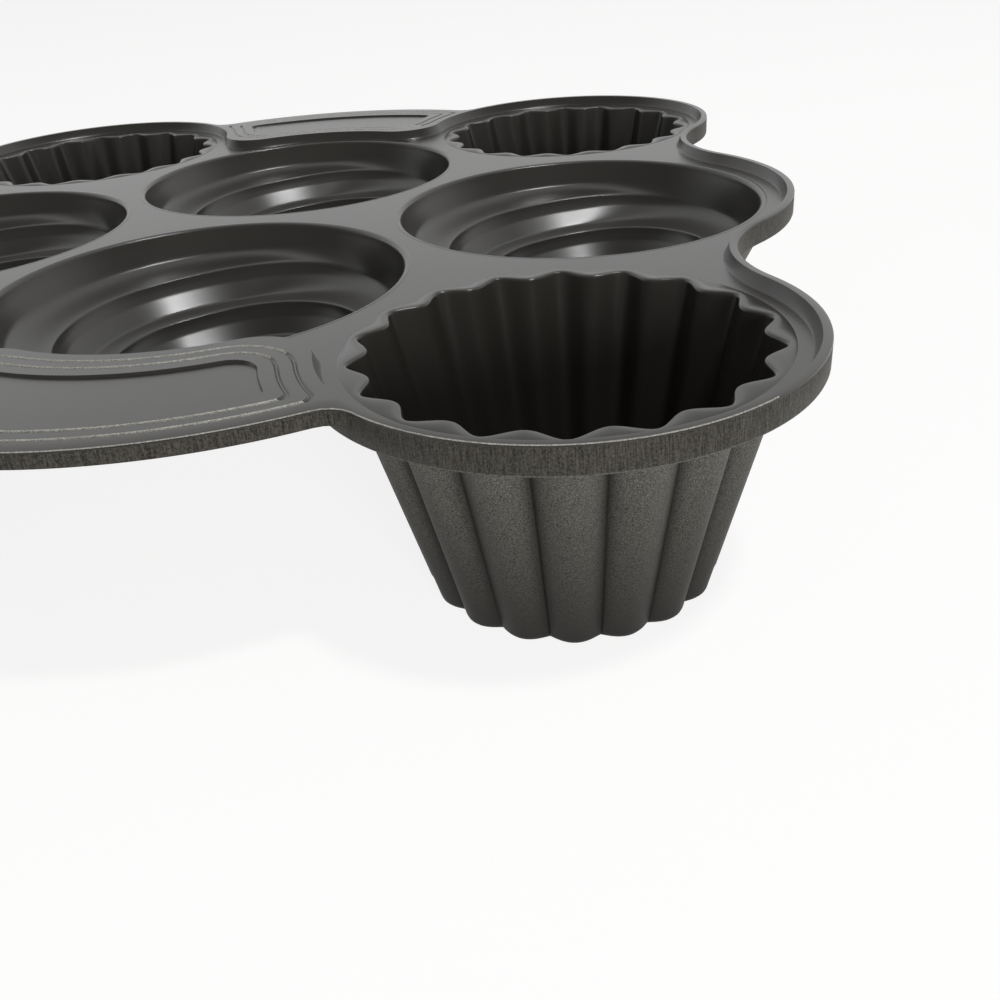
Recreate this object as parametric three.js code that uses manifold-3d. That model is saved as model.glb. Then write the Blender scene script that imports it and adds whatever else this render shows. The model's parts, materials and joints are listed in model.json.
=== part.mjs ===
// Cupcake pan with fluted cups for the cake bases and swirl cups for the tops, and a handle at each end.
// The real pan is one casting. Here each cup with its share of the deck, and each handle, is a solid of
// its own, parted from its neighbours along the middle of the webs by a hairline seam.
// Millimetres, +Z up. The origin lies on the table under the middle of the pan, with the handles along Y.
import * as THREE from 'three';
import Module from 'manifold-3d';
import { mergeVertices } from 'three/addons/utils/BufferGeometryUtils.js';

// Deck and its raised edge
const DECK_HEIGHT = 51.4;
const DECK_THICKNESS = 2.9;
const RIM_RISE = 2.9;
const RIM_CREST = 1.2;
const RIM_WIDTH = 6;
const RIM_BEND = 0.45;
const SEAM_GAP = 0.3;

// Layout: the webs are the deck left between two openings
const WEB = 7.8;
const WIDE_WEB = 10.4;
const SIDE_NOTCH_RADIUS = 36;
const HANDLE_NOTCH_RADIUS = 6;

// Fluted cups
const FLUTE_COUNT = 18;
const FLUTE_STEPS = 6;
const FLUTE_START = THREE.MathUtils.degToRad(91.2);
const FLUTE_SHARPNESS = 1.6;
const FLUTED_RADIUS = 41.5;
const FLUTE_SWING = 1.8;
const FLUTED_BASE_RADIUS = 29.8;
const FLUTE_BASE_SWING = 1;
const FLUTED_WALL = 1.5;
const FLUTED_LIP = 7.3;
const MOUTH_FLARE = 1.3;
const FLUTED_FLOOR = 3;
const BASE_ROUNDING = 1.6;

// Swirl cups: a ledge leaves the wall, winds down and steps in once each turn
const SWIRL_RADIUS = 49.7;
const SWIRL_LIP = 8.8;
const HANDLE_SIDE_LIP = 5.3;
const SWIRL_COLUMNS = 28;
const SWIRL_TURNS = 3;
const SWIRL_START = THREE.MathUtils.degToRad(15);
const LEDGE_INSET = 1.7;
const LEDGE_DEPTH = 7;
const SWIRL_PITCH = 8;
const SWIRL_STEP_IN = 11;
const STEP_IN_SPAN = 0.3;
// Section of the hollow between two turns, by shares of the way in and down: steep wall, slope, shelf
const HOLLOW_SECTION = [[0, 0], [0.09, 0.42], [0.4, 0.93], [1, 1]];
const HOLLOW_STEPS = HOLLOW_SECTION.length - 1;
const TIP_DROP = 5;
const SWIRL_WALL = 2.6;

// Handles: a flat tab with two fine grooves round a sunk panel
const HANDLE_RADIUS = 95;
const HANDLE_THICKNESS = 3.2;
const HANDLE_FILLET = 6;
const GROOVE_FRONT_MARGIN = 4.4;
const GROOVE_MARGIN = 1.4;
const GROOVE_SPACING = 3.45;
const GROOVE_WIDTH = 1.1;
const GROOVE_DEPTH = 0.4;
const FRONT_CORNER = 2.4;
const BACK_CORNER = 13.5;
const PANEL_DEPTH = 0.8;
const PANEL_DRAFT = 0.3;

// Facets of the long and the short arcs
const FLUTED_EDGE_STEPS = 24;
const SWIRL_EDGE_STEPS = 10;
const TAB_STEPS = 20;
const FRONT_STEPS = 9;
const END_STEPS = 5;
const CORNER_STEPS = 4;

const TAU = Math.PI * 2;
const OVERLAP = 1;
const CLEAR = 20;
const RIM_TOP = DECK_HEIGHT + RIM_RISE;
const DECK_BOTTOM = DECK_HEIGHT - DECK_THICKNESS;
const FLUTE_TIP_RADIUS = FLUTED_RADIUS + FLUTE_SWING;

const wasm = await Module();
wasm.setup();

const castAluminium = { color: '#575651', roughness: 0.46, metalness: 0.75 };

// Solids

function solidFromMesh(positions, triangles) {
  const vertProperties = new Float32Array(positions.flat());
  const triVerts = new Uint32Array(triangles.flat());
  return new wasm.Manifold(new wasm.Mesh({ numProp: 3, vertProperties, triVerts }));
}

function solidFromGeometry(geometry) {
  geometry.deleteAttribute('normal');
  geometry.deleteAttribute('uv');
  const merged = mergeVertices(geometry);
  const vertProperties = new Float32Array(merged.attributes.position.array);
  const triVerts = new Uint32Array(merged.index.array);
  return new wasm.Manifold(new wasm.Mesh({ numProp: 3, vertProperties, triVerts }));
}

function geometryFromSolid(solid) {
  const mesh = solid.getMesh();
  const geometry = new THREE.BufferGeometry();
  geometry.setAttribute('position', new THREE.BufferAttribute(mesh.vertProperties, 3));
  geometry.setIndex(new THREE.BufferAttribute(mesh.triVerts, 1));
  geometry.computeVertexNormals();
  return geometry;
}

// Skins a stack of rings, each drawn anticlockwise with as many points as the others, from the lowest up
function loft(levels) {
  const count = levels[0].ring.length;
  const positions = levels.flatMap(({ ring, z }) => ring.map((point) => [point.x, point.y, z]));
  const triangles = [];
  for (let level = 0; level + 1 < levels.length; level += 1) {
    for (let i = 0; i < count; i += 1) {
      const next = (i + 1) % count;
      const low = level * count;
      const high = low + count;
      triangles.push([low + i, low + next, high + next], [low + i, high + next, high + i]);
    }
  }
  const top = (levels.length - 1) * count;
  for (const [a, b, c] of THREE.ShapeUtils.triangulateShape(levels[0].ring, [])) {
    triangles.push([a, c, b]);
  }
  for (const [a, b, c] of THREE.ShapeUtils.triangulateShape(levels[levels.length - 1].ring, [])) {
    triangles.push([top + a, top + b, top + c]);
  }
  return solidFromMesh(positions, triangles);
}

function prism(outline, low, high) {
  const shape = new THREE.Shape(outline);
  const geometry = new THREE.ExtrudeGeometry(shape, { depth: high - low, bevelEnabled: false });
  geometry.translate(0, 0, low);
  return solidFromGeometry(geometry);
}

// Plane curves

function polar(centre, radius, angle) {
  return new THREE.Vector2(centre.x + radius * Math.cos(angle), centre.y + radius * Math.sin(angle));
}

function angleTo(centre, point) {
  return Math.atan2(point.y - centre.y, point.x - centre.x);
}

// Arc about a centre, from the direction of one point to that of another, without its last point
function arc(centre, radius, from, to, clockwise, steps) {
  const start = angleTo(centre, from);
  const turn = clockwise ? -1 : 1;
  const sweep = THREE.MathUtils.euclideanModulo(turn * (angleTo(centre, to) - start), TAU);
  const points = [];
  for (let i = 0; i < steps; i += 1) {
    points.push(polar(centre, radius, start + (turn * sweep * i) / steps));
  }
  return points;
}

// Of the two points at given distances from two centres, the one farther from the middle of the pan
function outerMeeting(a, fromA, b, fromB) {
  const line = b.clone().sub(a);
  const length = line.length();
  const along = (fromA ** 2 - fromB ** 2 + length ** 2) / (2 * length);
  const aside = Math.sqrt(fromA ** 2 - along ** 2);
  const foot = a.clone().addScaledVector(line, along / length);
  const normal = new THREE.Vector2(-line.y, line.x).multiplyScalar(aside / length);
  const one = foot.clone().add(normal);
  const other = foot.clone().sub(normal);
  return one.length() > other.length() ? one : other;
}

// Layout of the cups, anticlockwise from the right

const swirlY = SWIRL_RADIUS + WIDE_WEB / 2;
const swirlX = Math.sqrt((2 * SWIRL_RADIUS + WEB) ** 2 - swirlY ** 2);
const frontSwirl = new THREE.Vector2(0, -swirlY);
const rightSwirl = new THREE.Vector2(swirlX, 0);
const openingSum = SWIRL_RADIUS + FLUTE_TIP_RADIUS;
const corner = outerMeeting(frontSwirl, openingSum + WEB, rightSwirl, openingSum + WIDE_WEB);

function swirlCup(name, x, y, lip) {
  const centre = new THREE.Vector2(x, y);
  const opening = SWIRL_RADIUS;
  const edge = opening + lip;
  return { name, centre, opening, edge, edgeSteps: SWIRL_EDGE_STEPS, shape: swirlShape };
}

function flutedCup(name, x, y) {
  const centre = new THREE.Vector2(x, y);
  const opening = FLUTE_TIP_RADIUS;
  const edge = opening + FLUTED_LIP;
  return { name, centre, opening, edge, edgeSteps: FLUTED_EDGE_STEPS, shape: flutedShape };
}

const cups = [
  swirlCup('swirl_cup_right', swirlX, 0, SWIRL_LIP),
  flutedCup('fluted_cup_back_right', corner.x, -corner.y),
  swirlCup('swirl_cup_back', 0, swirlY, HANDLE_SIDE_LIP),
  flutedCup('fluted_cup_back_left', -corner.x, -corner.y),
  swirlCup('swirl_cup_left', -swirlX, 0, SWIRL_LIP),
  flutedCup('fluted_cup_front_left', -corner.x, corner.y),
  swirlCup('swirl_cup_front', 0, -swirlY, HANDLE_SIDE_LIP),
  flutedCup('fluted_cup_front_right', corner.x, corner.y),
];

// Deck: the rounded outline of all the cups, with a dished raised edge

function notchBetween(cup, next) {
  const behindHandle = Math.min(Math.abs(cup.centre.x), Math.abs(next.centre.x)) < SWIRL_RADIUS;
  const radius = behindHandle ? HANDLE_NOTCH_RADIUS : SIDE_NOTCH_RADIUS;
  return { radius, centre: outerMeeting(cup.centre, cup.edge + radius, next.centre, next.edge + radius) };
}

function deckOutline(inset) {
  const count = cups.length;
  return cups.flatMap((cup, i) => {
    const next = cups[(i + 1) % count];
    const before = notchBetween(cups[(i + count - 1) % count], cup);
    const after = notchBetween(cup, next);
    return [
      ...arc(cup.centre, cup.edge - inset, before.centre, after.centre, false, cup.edgeSteps),
      ...arc(after.centre, after.radius + inset, cup.centre, next.centre, true, CORNER_STEPS),
    ];
  });
}

function deckSlab() {
  const bend = RIM_CREST + (RIM_WIDTH - RIM_CREST) * RIM_BEND;
  return loft([
    { ring: deckOutline(0), z: DECK_BOTTOM },
    { ring: deckOutline(0), z: RIM_TOP },
    { ring: deckOutline(RIM_CREST), z: RIM_TOP },
    { ring: deckOutline(bend), z: DECK_HEIGHT + RIM_RISE * (1 - RIM_BEND) ** 2 },
    { ring: deckOutline(RIM_WIDTH), z: DECK_HEIGHT },
  ]);
}

// Fluted cup: one wavy ring drawn from the base to the deck, inside and out

// The wave has narrow tips and broad hollows, and an offset is measured square to it
function flutedRing(centre, radius, swing, offset) {
  const count = FLUTE_COUNT * FLUTE_STEPS;
  const ring = [];
  for (let i = 0; i < count; i += 1) {
    const angle = (i / count) * TAU + FLUTE_START;
    const half = (FLUTE_COUNT * (angle - FLUTE_START)) / 2;
    const sine = Math.abs(Math.sin(half));
    const reach = radius + swing * (1 - 2 * sine ** FLUTE_SHARPNESS);
    const bend = sine ** (FLUTE_SHARPNESS - 1) * Math.cos(half) * Math.sign(Math.sin(half));
    const slope = -swing * FLUTE_COUNT * FLUTE_SHARPNESS * bend;
    const lean = Math.atan2(slope, reach);
    ring.push(polar(polar(centre, reach, angle), offset, angle - lean));
  }
  return ring;
}

// Wall of the cup at a height, moved in or out of the inner face by an offset
function flutedWall(centre, z, offset) {
  const baseRadius = FLUTED_BASE_RADIUS - FLUTED_WALL;
  const neckRadius = FLUTED_RADIUS - MOUTH_FLARE;
  const radius = THREE.MathUtils.mapLinear(z, 0, DECK_HEIGHT - MOUTH_FLARE, baseRadius, neckRadius);
  const swing = THREE.MathUtils.mapLinear(z, 0, DECK_HEIGHT, FLUTE_BASE_SWING, FLUTE_SWING);
  return { ring: flutedRing(centre, radius, swing, offset), z };
}

function flutedShape({ centre }) {
  const outside = loft([
    flutedWall(centre, 0, FLUTED_WALL - BASE_ROUNDING),
    flutedWall(centre, BASE_ROUNDING, FLUTED_WALL),
    flutedWall(centre, DECK_BOTTOM + OVERLAP, FLUTED_WALL),
  ]);
  const mouth = flutedRing(centre, FLUTED_RADIUS, FLUTE_SWING, 0);
  const cavity = loft([
    flutedWall(centre, FLUTED_FLOOR, -BASE_ROUNDING),
    flutedWall(centre, FLUTED_FLOOR + BASE_ROUNDING, 0),
    flutedWall(centre, DECK_HEIGHT - MOUTH_FLARE, 0),
    { ring: mouth, z: DECK_HEIGHT },
    { ring: mouth, z: RIM_TOP + CLEAR },
  ]);
  return { outside, cavity };
}

// Swirl cup: the inner edge of the ledge, by the turns it has made round the cup

function spiral(turns) {
  const whole = Math.floor(turns);
  const stepped = whole + THREE.MathUtils.smoothstep(turns - whole, 0, STEP_IN_SPAN);
  const radius = SWIRL_RADIUS - LEDGE_INSET - SWIRL_STEP_IN * stepped;
  return { radius, depth: LEDGE_DEPTH + SWIRL_PITCH * turns };
}

const swirlTip = { radius: 0, depth: spiral(SWIRL_TURNS).depth + TIP_DROP };

// Share of the way down a hollow at a share of the way in
function downAt(inward) {
  const corner = HOLLOW_SECTION.findIndex(([reached], i) => i > 0 && reached >= inward);
  const [x0, y0] = HOLLOW_SECTION[corner - 1];
  const [x1, y1] = HOLLOW_SECTION[corner];
  return THREE.MathUtils.mapLinear(inward, x0, x1, y0, y1);
}

// Over the end of its last turn the ledge sinks into the hollow round the tip
function ledgeEdge(turns) {
  const { radius, depth } = spiral(turns);
  const fade = THREE.MathUtils.smoothstep(turns, SWIRL_TURNS - STEP_IN_SPAN, SWIRL_TURNS);
  const above = spiral(turns - 1);
  const inward = Math.max(1 - radius / above.radius, 0);
  const hollow = THREE.MathUtils.lerp(above.depth, swirlTip.depth, downAt(inward));
  return { radius, depth: THREE.MathUtils.lerp(depth, hollow, fade) };
}

// Corner of the hollow from one edge down and in to the next
function hollowCorner(from, to, step) {
  const [inward, down] = HOLLOW_SECTION[step];
  return {
    radius: THREE.MathUtils.lerp(from.radius, to.radius, inward),
    depth: THREE.MathUtils.lerp(from.depth, to.depth, down),
  };
}

function swirlCavity(centre) {
  const n = SWIRL_COLUMNS;
  const total = n * SWIRL_TURNS;
  const rim = { radius: SWIRL_RADIUS, depth: 0 };
  const positions = [];
  const triangles = [];
  const place = ({ radius, depth }, column) => {
    const point = polar(centre, radius, SWIRL_START + (column / n) * TAU);
    return positions.push([point.x, point.y, DECK_HEIGHT - depth]) - 1;
  };
  // Joins two strips of points, of which the right one lies anticlockwise of the left one
  const weave = (left, right) => {
    for (let i = 0; i + 1 < left.length; i += 1) {
      if (left[i] !== left[i + 1]) {
        triangles.push([left[i], left[i + 1], right[i]]);
      }
      if (right[i] !== right[i + 1]) {
        triangles.push([right[i], left[i + 1], right[i + 1]]);
      }
    }
  };
  const chain = (upper, lower) => [...upper, ...lower.slice(1)];
  const doubled = (strip) => strip.flatMap((index, i) => (i === HOLLOW_STEPS ? [index] : [index, index]));

  const lid = place({ radius: 0, depth: -RIM_RISE - CLEAR }, 0);
  const tip = place(swirlTip, 0);
  const mouth = [];
  const rimRing = [];
  for (let i = 0; i < n; i += 1) {
    mouth.push(place({ radius: SWIRL_RADIUS, depth: -RIM_RISE - CLEAR }, i));
    rimRing.push(place(rim, i));
  }
  const strips = [];
  for (let column = 0; column < total + n; column += 1) {
    const above = column < n ? rim : ledgeEdge(column / n - 1);
    const below = column < total ? ledgeEdge(column / n) : swirlTip;
    const strip = [column < n ? rimRing[column] : strips[column - n][HOLLOW_STEPS]];
    for (let step = 1; step < HOLLOW_STEPS; step += 1) {
      strip.push(place(hollowCorner(above, below, step), column));
    }
    strip.push(column < total ? place(below, column) : tip);
    strips.push(strip);
  }

  for (let i = 0; i < n; i += 1) {
    const next = (i + 1) % n;
    triangles.push([lid, mouth[i], mouth[next]]);
    weave([mouth[i], rimRing[i]], [mouth[next], rimRing[next]]);
  }
  // The ledge starts where the first turn closes and ends where the last one does
  weave(doubled(strips[n - 1]), chain(strips[0], strips[n]));
  weave(chain(strips[total - 1], strips[total + n - 1]), doubled(strips[total]));
  for (let column = 0; column + 1 < strips.length; column += 1) {
    if (column + 1 !== n && column + 1 !== total) {
      weave(strips[column], strips[column + 1]);
    }
  }
  return solidFromMesh(positions, triangles);
}

// The outside drops in cones, one for each turn, that keep the wall clear of the deepest hollow of that turn
function swirlOutside(centre) {
  const top = DECK_BOTTOM + OVERLAP;
  const bottom = DECK_HEIGHT - swirlTip.depth - SWIRL_WALL;
  const clear = SWIRL_WALL * Math.SQRT1_2;
  const profile = [new THREE.Vector2(0, top), new THREE.Vector2(SWIRL_RADIUS + SWIRL_WALL, top)];
  let above = { radius: SWIRL_RADIUS, depth: 0 };
  for (let turn = 1; turn <= SWIRL_TURNS; turn += 1) {
    const edge = ledgeEdge(turn);
    const { radius, depth } = hollowCorner(above, edge, HOLLOW_STEPS - 1);
    profile.push(new THREE.Vector2(radius + clear, DECK_HEIGHT - depth - clear));
    above = edge;
  }
  profile.push(new THREE.Vector2(above.radius, bottom), new THREE.Vector2(0, bottom));
  const bowl = new THREE.LatheGeometry(profile.reverse(), SWIRL_COLUMNS);
  bowl.rotateX(Math.PI / 2);
  bowl.translate(centre.x, centre.y, 0);
  return solidFromGeometry(bowl);
}

function swirlShape({ centre }) {
  return { outside: swirlOutside(centre), cavity: swirlCavity(centre) };
}

// Sections: the deck is parted halfway between the cups, where a point lies as far in power from both

function beyondSeam(cup, other) {
  const line = other.centre.clone().sub(cup.centre);
  const length = line.length();
  const seam = (length ** 2 + cup.opening ** 2 - other.opening ** 2) / (2 * length) - SEAM_GAP / 2;
  const reach = 2 * length;
  const block = new THREE.BoxGeometry(reach, 2 * reach, 2 * RIM_TOP + CLEAR);
  block.translate(seam + reach / 2, 0, 0);
  block.rotateZ(Math.atan2(line.y, line.x));
  block.translate(cup.centre.x, cup.centre.y, 0);
  return solidFromGeometry(block);
}

function cupSection(cup, deck) {
  const { outside, cavity } = cup.shape(cup);
  const joined = deck.add(outside);
  const others = cups.filter((other) => other !== cup);
  const parted = others.reduce((solid, other) => solid.subtract(beyondSeam(cup, other)), joined);
  return parted.subtract(cavity);
}

// Handle: the tab follows the swirl cup in front of it, and its grooves keep a margin to the cups around

function grooveOutline(inset, swirl, startSide, endSide) {
  const front = HANDLE_RADIUS - GROOVE_FRONT_MARGIN - inset;
  const back = swirl.edge + GROOVE_MARGIN + inset;
  const end = startSide.edge + GROOVE_MARGIN + inset;
  const width = front - back;
  const frontR = Math.min(FRONT_CORNER, width / 5);
  const backR = Math.min(BACK_CORNER - inset, width / 2.5);
  const corners = [
    outerMeeting(swirl.centre, front - frontR, startSide.centre, end + frontR),
    outerMeeting(swirl.centre, front - frontR, endSide.centre, end + frontR),
    outerMeeting(swirl.centre, back + backR, endSide.centre, end + backR),
    outerMeeting(swirl.centre, back + backR, startSide.centre, end + backR),
  ];
  const away = (from, to) => to.clone().multiplyScalar(2).sub(from);
  const frontStart = away(swirl.centre, corners[0]);
  const frontEnd = away(swirl.centre, corners[1]);
  return [
    ...arc(swirl.centre, front, corners[0], corners[1], false, FRONT_STEPS),
    ...arc(corners[1], frontR, frontEnd, endSide.centre, false, CORNER_STEPS),
    ...arc(endSide.centre, end, corners[1], corners[2], true, END_STEPS),
    ...arc(corners[2], backR, endSide.centre, swirl.centre, false, CORNER_STEPS),
    ...arc(swirl.centre, back, corners[2], corners[3], true, FRONT_STEPS),
    ...arc(corners[3], backR, swirl.centre, startSide.centre, false, CORNER_STEPS),
    ...arc(startSide.centre, end, corners[3], corners[0], true, END_STEPS),
    ...arc(corners[0], frontR, startSide.centre, frontStart, false, CORNER_STEPS),
  ];
}

// The tab is drawn in to the middles of the cups, whose edges then cut it, and runs into them by a fillet
function handleTab(swirl, startSide, endSide) {
  const filletCentre = (side) =>
    outerMeeting(swirl.centre, HANDLE_RADIUS + HANDLE_FILLET, side.centre, side.edge + HANDLE_FILLET);
  const start = filletCentre(startSide);
  const end = filletCentre(endSide);
  const outline = [
    ...arc(start, HANDLE_FILLET, startSide.centre, swirl.centre, true, CORNER_STEPS),
    ...arc(swirl.centre, HANDLE_RADIUS, start, end, false, TAB_STEPS),
    ...arc(end, HANDLE_FILLET, swirl.centre, endSide.centre, true, CORNER_STEPS),
    endSide.centre,
    swirl.centre,
    startSide.centre,
  ];
  return prism(outline, RIM_TOP - HANDLE_THICKNESS, RIM_TOP);
}

function handle(swirl, startSide, endSide) {
  const outline = (inset, z) => ({ ring: grooveOutline(inset, swirl, startSide, endSide), z });
  // Groove with sloped walls: its outer wall encloses it, and an island with its inner wall is left standing
  const groove = (inset) => {
    const floor = RIM_TOP - GROOVE_DEPTH;
    const outer = inset - GROOVE_WIDTH / 2;
    const inner = inset + GROOVE_WIDTH / 2;
    const hollow = loft([
      outline(outer + GROOVE_DEPTH, floor),
      outline(outer, RIM_TOP),
      outline(outer, RIM_TOP + OVERLAP),
    ]);
    const island = loft([
      outline(inner - GROOVE_DEPTH, floor - OVERLAP),
      outline(inner - GROOVE_DEPTH, floor),
      outline(inner, RIM_TOP),
      outline(inner, RIM_TOP + CLEAR),
    ]);
    return hollow.subtract(island);
  };
  const panelEdge = 2 * GROOVE_SPACING;
  const panel = loft([
    outline(panelEdge + PANEL_DRAFT, RIM_TOP - PANEL_DEPTH),
    outline(panelEdge, RIM_TOP),
    outline(panelEdge, RIM_TOP + OVERLAP),
  ]);
  const seat = prism(deckOutline(-SEAM_GAP), DECK_BOTTOM - CLEAR, RIM_TOP + CLEAR);
  const cuts = [groove(0), groove(GROOVE_SPACING), panel, seat];
  return cuts.reduce((tab, shape) => tab.subtract(shape), handleTab(swirl, startSide, endSide));
}

// Assembly

const pan = new THREE.Group();

function addPiece(name, solid, origin) {
  const geometry = geometryFromSolid(solid);
  geometry.translate(-origin.x, -origin.y, 0);
  const piece = new THREE.Mesh(geometry, new THREE.MeshStandardMaterial(castAluminium));
  piece.name = name;
  piece.position.set(origin.x, origin.y, 0);
  pan.add(piece);
}

const deck = deckSlab();
for (const cup of cups) {
  addPiece(cup.name, cupSection(cup, deck), cup.centre);
}

const cupNamed = (name) => cups.find((cup) => cup.name === name);
const handles = [
  ['handle_front', 'swirl_cup_front', 'fluted_cup_front_left', 'fluted_cup_front_right'],
  ['handle_back', 'swirl_cup_back', 'fluted_cup_back_right', 'fluted_cup_back_left'],
];
for (const [name, swirl, startSide, endSide] of handles) {
  addPiece(name, handle(cupNamed(swirl), cupNamed(startSide), cupNamed(endSide)), cupNamed(swirl).centre);
}

export default pan;
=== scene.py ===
"""Cupcake pan cast in aluminium: fluted cups for bases, swirl cups for tops, a framed handle at each end.

Metres, +Z up, the handles along Y. The pan is one casting, so its pieces meet without a line:
the deck carries the raised edge and both handles, and each cup fills a round hole in the deck.
"""
import json
from math import atan2, cos, floor, hypot, pi, radians, sin, sqrt, tau

import bmesh
import bpy
from mathutils import Matrix, Vector


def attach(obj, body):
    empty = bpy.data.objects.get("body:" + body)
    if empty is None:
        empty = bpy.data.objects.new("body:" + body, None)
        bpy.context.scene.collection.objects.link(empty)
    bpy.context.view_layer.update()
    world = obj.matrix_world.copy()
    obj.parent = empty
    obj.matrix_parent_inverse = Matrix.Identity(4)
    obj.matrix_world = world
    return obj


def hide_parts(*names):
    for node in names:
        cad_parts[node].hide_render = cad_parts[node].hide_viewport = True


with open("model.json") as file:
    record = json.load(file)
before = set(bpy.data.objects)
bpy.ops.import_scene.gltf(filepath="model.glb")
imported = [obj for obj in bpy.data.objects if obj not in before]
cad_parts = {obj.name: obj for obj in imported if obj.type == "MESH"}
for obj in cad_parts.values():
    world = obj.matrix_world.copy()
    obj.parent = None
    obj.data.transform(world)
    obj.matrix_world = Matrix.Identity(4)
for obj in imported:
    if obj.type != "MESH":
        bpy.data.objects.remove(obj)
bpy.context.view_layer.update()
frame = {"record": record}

# Deck and its raised edge
DECK_THICKNESS = 0.0029
RIM_RISE = 0.0029
RIM_CREST = 0.0019
RIM_WIDTH = 0.0032
RIM_ROUNDING = 0.0004
RIM_STEPS = 8
DISH_CURVE = 1.3
SUPPORT = 0.00015
MERGE = 2e-6
LEVEL = 1e-5
SWIRL_EDGE = 0.0585
HANDLE_SIDE_EDGE = 0.055
FLUTED_EDGE = 0.05058
SIDE_NOTCH = 0.036
HANDLE_NOTCH = 0.011
ARC_STEP = 0.0022

# Handles
HANDLE_RADIUS = 0.095
HANDLE_THICKNESS = 0.0032
HANDLE_FILLET = 0.006
GROOVE_FRONT_MARGIN = 0.0044
GROOVE_MARGIN = 0.0014
GROOVE_SPACING = 0.00345
GROOVE_WIDTH = 0.0011
GROOVE_DEPTH = 0.0004
FRONT_CORNER = 0.0024
BACK_CORNER = 0.0135
PANEL_DEPTH = 0.0006
PANEL_DRAFT = 0.0003
GROOVE_LONG_STEPS = 40
GROOVE_END_STEPS = 14
GROOVE_CORNER_STEPS = 10

# Fluted cups
FLUTES = 18
FLUTE_SEGMENTS = 16 * FLUTES
FLUTE_START = radians(91.2)
FLUTE_SHARPNESS = 1.6
GROOVE_SHARPNESS = 1.2
FLUTE_TIP_ROUNDING = 0.02
GROOVE_SHADE = 0.8
MOUTH_RADIUS = 0.0415
MOUTH_SWING = 0.0018
MOUTH_ROUNDING = 0.0008
BASE_RADIUS = 0.0283
BASE_SWING = 0.001
FLUTED_WALL = 0.0015
FLUTED_FLOOR = 0.003
FLOOR_FILLET = 0.003
BASE_ROUNDING = 0.0016
FILLET_STEPS = 4
MOUTH_STEPS = 6
WALL_STEPS = 5
OUTSIDE_STEPS = 4
FLUTED_HOLE = 0.0444
FLUTED_HOLE_UNDER = 0.0463

# Swirl cups
SWIRL_RADIUS = 0.0497
SWIRL_SEGMENTS = 144
SWIRL_TURNS = 3
SWIRL_START = radians(15)
SWIRL_LIP = 0.0012
LEDGE_INSET = 0.0017
LEDGE_DEPTH = 0.007
LEDGE_NOSE = 0.0007
SWIRL_PITCH = 0.008
SWIRL_STEP_IN = 0.011
STEP_IN_SPAN = 0.3
# Sections by shares of the way in and down: a steep wall and a shelf below the rim,
# and a slope between them lower down
WALL_SECTION = ((0, 0), (0.17, 0.6), (0.24, 0.77), (0.6, 0.95), (1, 1))
HOLLOW_SECTION = ((0, 0), (0.15, 0.36), (0.18, 0.41), (0.5, 0.9), (0.54, 0.95), (1, 1))
LEDGE_RISES = (0.06, 0.22)
LEDGE_SINKS = 0.3
TIP_DROP = 0.005
SWIRL_WALL = 0.0026
LIP_STEPS = 5
# Outside: where it leaves the deck, its corners as shares of each turn's step, and the tip by radius and depth
OUTSIDE_DROP = 0.001
OUTSIDE_CORNER = (0.4, 0.93)
TIP_OUTSIDE = ((0.0262, 0.0287), (0.0196, 0.0348), (0.013, 0.0368), (0.0, 0.037))
HOLLOW_ROWS = 12
NOSE_ROWS = 4
SWIRL_HOLE = 0.0515
SWIRL_HOLE_UNDER = 0.0532

openings = {o["name"]: o["box_m"] for o in frame["record"]["physics"]["openings"]}
DECK_TOP = openings["swirl_cup_front_upper"][1][2]
DECK_UNDER = DECK_TOP - DECK_THICKNESS
RIM_TOP = DECK_TOP + RIM_RISE
HANDLE_UNDER = RIM_TOP - HANDLE_THICKNESS
GROOVE_FLOOR = RIM_TOP - GROOVE_DEPTH
PANEL_TOP = RIM_TOP - PANEL_DEPTH
BAND_LEAN = 0.1
OUTSIDE_LEAN = 0.02
WORN_AND_HIGHLIT_LEAN = 0.97
WORN_AND_HIGHLIT_DEPTH = 0.00022
DECK_SHARP = 25
CUP_SHARP = 60


# Plane layout

def opening_centre(name):
    low, high = openings[name]
    return Vector(((low[0] + high[0]) / 2, (low[1] + high[1]) / 2, 0))


def angle_to(centre, point):
    return atan2(point.y - centre.y, point.x - centre.x)


def polar(centre, radius, angle, z=0.0):
    return Vector((centre.x + radius * cos(angle), centre.y + radius * sin(angle), z))


def outer_meeting(a, from_a, b, from_b):
    """Of the two points at given distances from two centres, the one farther from the middle of the pan."""
    line = b - a
    along = (from_a**2 - from_b**2 + line.length_squared) / (2 * line.length)
    aside = sqrt(from_a**2 - along**2)
    foot = a + line * (along / line.length)
    normal = Vector((-line.y, line.x, 0)) * (aside / line.length)
    return max(foot + normal, foot - normal, key=lambda point: point.length)


class Cup:
    def __init__(self, name, mouth, edge):
        self.name = name
        self.centre = opening_centre(name + mouth)
        self.edge = edge


def swirl_cup(side, edge=SWIRL_EDGE):
    return Cup("swirl_cup_" + side, "_upper", edge)


def fluted_cup(corner):
    return Cup("fluted_cup_" + corner, "_upper", FLUTED_EDGE)


# Anticlockwise from the right: swirl and fluted cups take turns
cups = [
    swirl_cup("right"),
    fluted_cup("back_right"),
    swirl_cup("back", HANDLE_SIDE_EDGE),
    fluted_cup("back_left"),
    swirl_cup("left"),
    fluted_cup("front_left"),
    swirl_cup("front", HANDLE_SIDE_EDGE),
    fluted_cup("front_right"),
]
swirls = cups[0::2]
fluted = cups[1::2]
handle_swirls = [cups[2], cups[6]]


def neighbours(cup):
    place = cups.index(cup)
    return cups[place - 1], cups[(place + 1) % len(cups)]


# Outlines: each is a chain of arcs, and its distance from the edge comes from the point where it starts

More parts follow.
